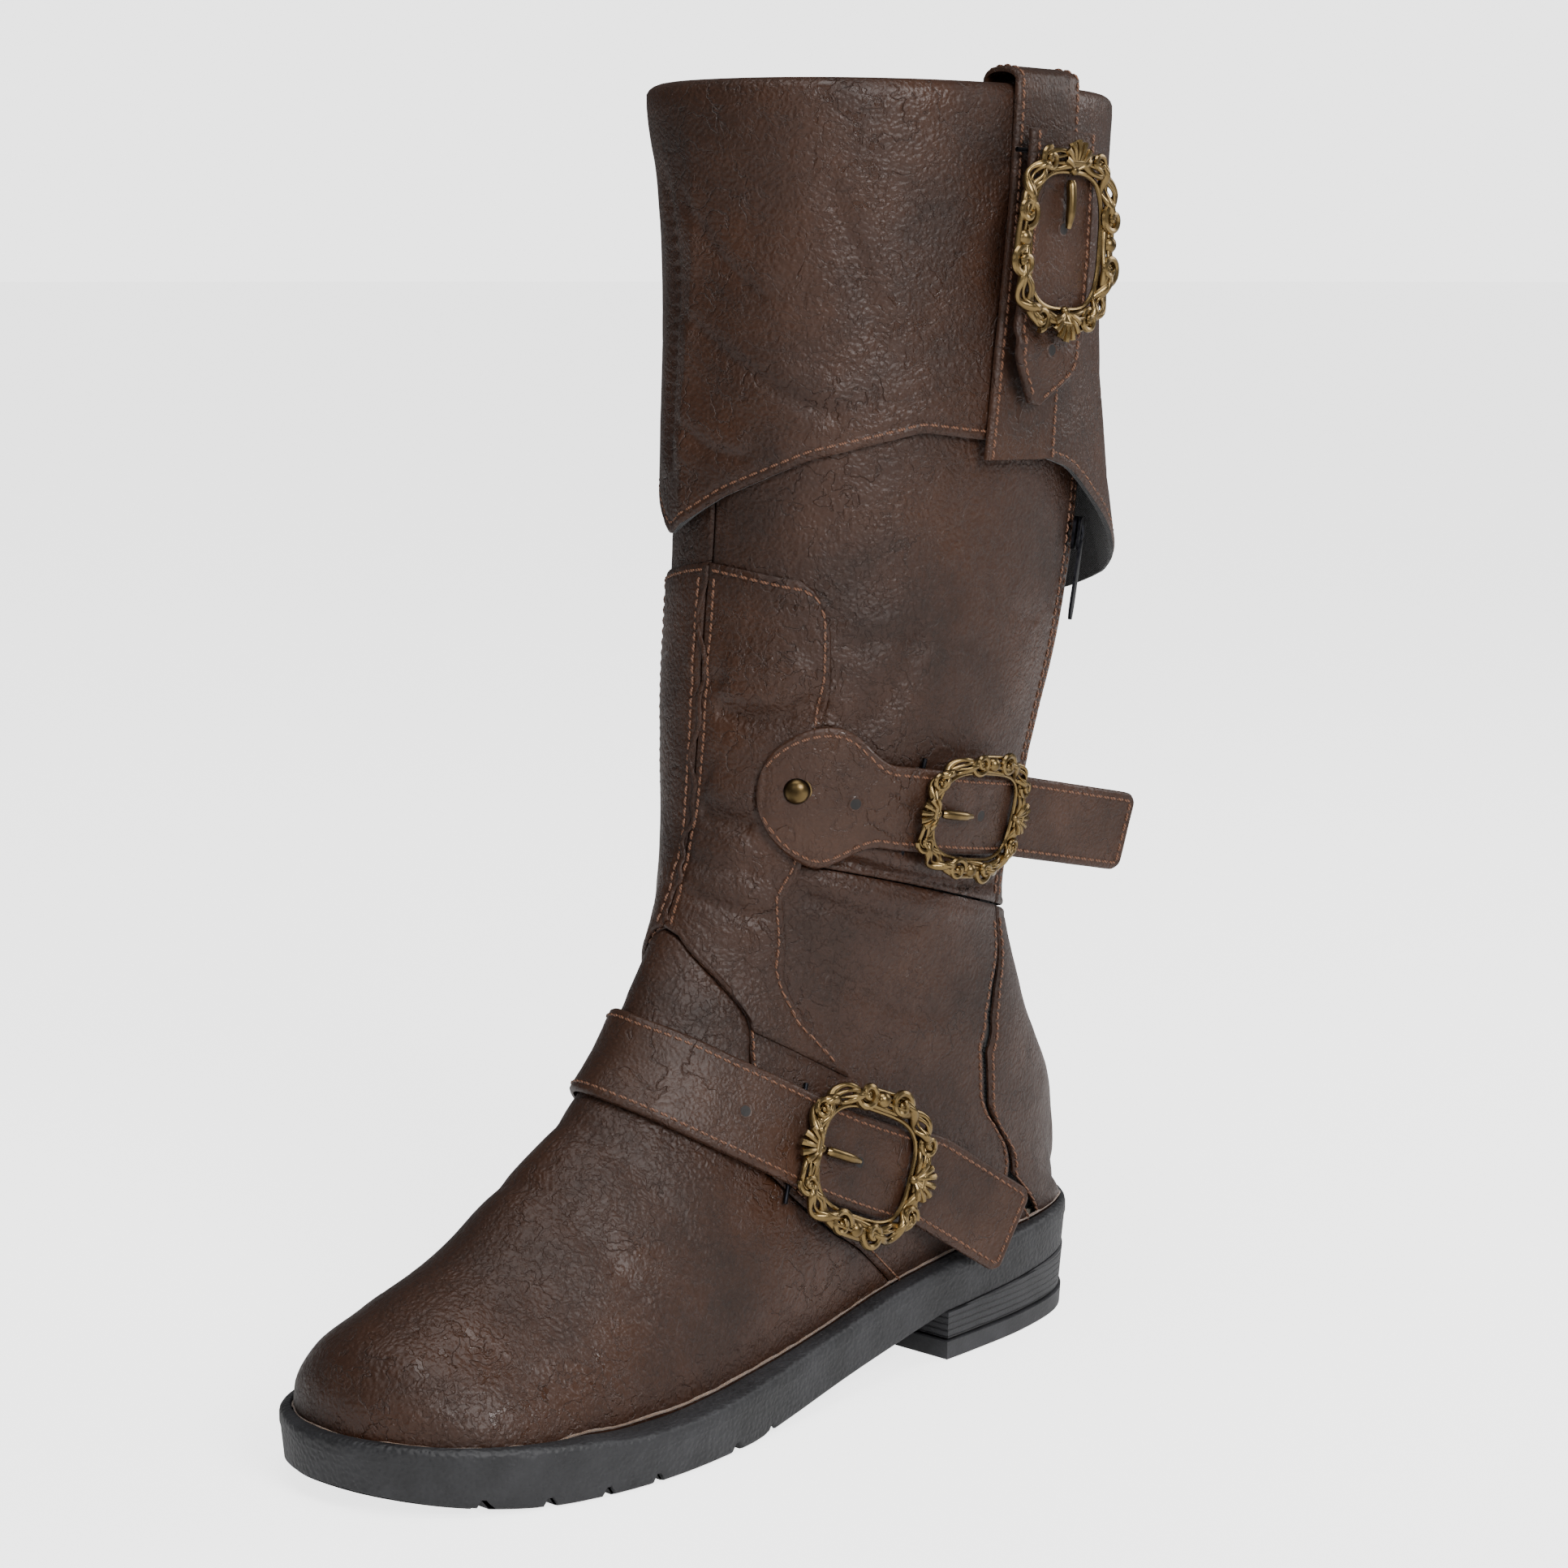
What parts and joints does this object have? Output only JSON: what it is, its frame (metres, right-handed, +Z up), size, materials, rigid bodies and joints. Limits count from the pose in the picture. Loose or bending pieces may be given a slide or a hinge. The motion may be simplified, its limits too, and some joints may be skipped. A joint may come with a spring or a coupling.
{
  "type": "pirate boot",
  "caption": "Knee-high costume pirate boot for the left foot: turned-down cuff, buckled straps at top, calf and instep, rear zip, rubber sole with block heel.",
  "frame": {"origin": "on the ground under the ball of the foot, on the tread's underside", "axes": "+Z up along the shaft, the toe points to -Y, +X is the outer side of a left boot, where the buckles are"},
  "size_m": [0.1251, 0.2985, 0.3784],
  "materials": {
    "leather": "dark brown pebbled faux leather, semi-matt, with glossier creases",
    "strap_leather": "the same faux leather, doubled and edge-stitched with copper thread",
    "lining": "black brushed lining",
    "rubber": "matt black moulded rubber, pebbled on the side wall",
    "antique_brass": "cast, antiqued, dark in the recesses",
    "steel": "plain, dull",
    "board": "pressed fibre board",
    "stiffener": "impregnated stiffening cloth",
    "zip_tape": "black woven tape",
    "zip_coil": "black nylon coil"
  },
  "bodies": {
    "boot": {"calf_strap": "strap_leather", "calf_stud": "antique_brass", "cuff": "leather", "foot_lining": "lining", "forefoot_filler": "board", "heel_block": "rubber", "heel_counter_lateral": "stiffener", "heel_counter_medial": "stiffener", "heel_panel_lateral": "leather", "heel_top_lift": "rubber", "insole_board": "board", "instep_strap": "strap_leather", "outsole": "rubber", "quarter_lateral": "leather", "quarter_medial": "leather", "shaft_back": "leather", "shaft_lateral": "leather", "shaft_lining": "lining", "shaft_medial": "leather", "shin_panel_lateral": "leather", "shin_panel_medial": "leather", "sock_liner": "lining", "sole_lip": "rubber", "steel_shank": "steel", "toe_puff": "stiffener", "top_strap": "strap_leather", "top_strap_base": "strap_leather", "vamp": "leather", "zip_coil_back": "zip_coil", "zip_coil_front": "zip_coil", "zip_tape_back": "zip_tape", "zip_tape_front": "zip_tape"},
    "calf_buckle": {"calf_buckle_frame": "antique_brass", "calf_buckle_bar": "steel"},
    "calf_prong": {"calf_buckle_prong": "antique_brass"},
    "calf_tail": {"calf_strap_tail": "strap_leather"},
    "instep_buckle": {"instep_buckle_frame": "antique_brass", "instep_buckle_bar": "steel"},
    "instep_prong": {"instep_buckle_prong": "antique_brass"},
    "instep_tail": {"instep_strap_tail": "strap_leather"},
    "top_buckle": {"top_buckle_frame": "antique_brass", "top_buckle_bar": "steel"},
    "top_prong": {"top_buckle_prong": "antique_brass"},
    "top_tail": {"top_strap_tail": "strap_leather"},
    "zip_slider": {"zip_slider": "steel"},
    "zip_pull": {"zip_pull": "steel"}
  },
  "joints": [
    {"name": "calf_buckle_hinge", "type": "hinge", "parent": "boot", "child": "calf_buckle", "pos_m": [0.04613, 0.09535, 0.17071], "axis": [-0.1523, -0.1564, -0.9759], "range_deg": [0, 15]},
    {"name": "calf_prong_hinge", "type": "hinge", "parent": "calf_buckle", "child": "calf_prong", "pos_m": [0.05151, 0.10171, 0.16885], "axis": [-0.1523, -0.1564, -0.9759], "range_deg": [0, 60]},
    {"name": "calf_tail_bend", "type": "hinge", "parent": "boot", "child": "calf_tail", "pos_m": [0.04561, 0.14158, 0.16276], "axis": [-0.1319, -0.1987, -0.9711], "range_deg": [0, 35], "stiffness_Nm_per_rad": 0.02},
    {"name": "instep_buckle_hinge", "type": "hinge", "parent": "boot", "child": "instep_buckle", "pos_m": [0.03359, 0.05968, 0.07706], "axis": [0.0877, -0.3992, -0.9127], "range_deg": [0, 15]},
    {"name": "instep_prong_hinge", "type": "hinge", "parent": "instep_buckle", "child": "instep_prong", "pos_m": [0.03937, 0.06662, 0.07458], "axis": [0.0877, -0.3992, -0.9127], "range_deg": [0, 60]},
    {"name": "instep_tail_bend", "type": "hinge", "parent": "boot", "child": "instep_tail", "pos_m": [0.04057, 0.10995, 0.05828], "axis": [-0.0381, -0.5376, -0.8423], "range_deg": [0, 35], "stiffness_Nm_per_rad": 0.02},
    {"name": "top_buckle_hinge", "type": "hinge", "parent": "boot", "child": "top_buckle", "pos_m": [0.06709, 0.13165, 0.35407], "axis": [0.0116, -0.9987, 0.0501], "range_deg": [0, 15]},
    {"name": "top_prong_hinge", "type": "hinge", "parent": "top_buckle", "child": "top_prong", "pos_m": [0.07127, 0.1313, 0.34613], "axis": [0.0116, -0.9987, 0.0501], "range_deg": [0, 60]},
    {"name": "top_tail_bend", "type": "hinge", "parent": "boot", "child": "top_tail", "pos_m": [0.06851, 0.12747, 0.30259], "axis": [-0.0048, -0.9754, 0.2202], "range_deg": [0, 35], "stiffness_Nm_per_rad": 0.02},
    {"name": "zip_slide", "type": "slide", "parent": "boot", "child": "zip_slider", "axis": [0.0657, 0.1276, 0.9896], "range_m": [-0.02, 0]},
    {"name": "zip_pull_hinge", "type": "hinge", "parent": "zip_slider", "child": "zip_pull", "pos_m": [0.04893, 0.16687, 0.24275], "axis": [0.4802, -0.8734, 0.0807], "range_deg": [0, 90]}
  ]
}
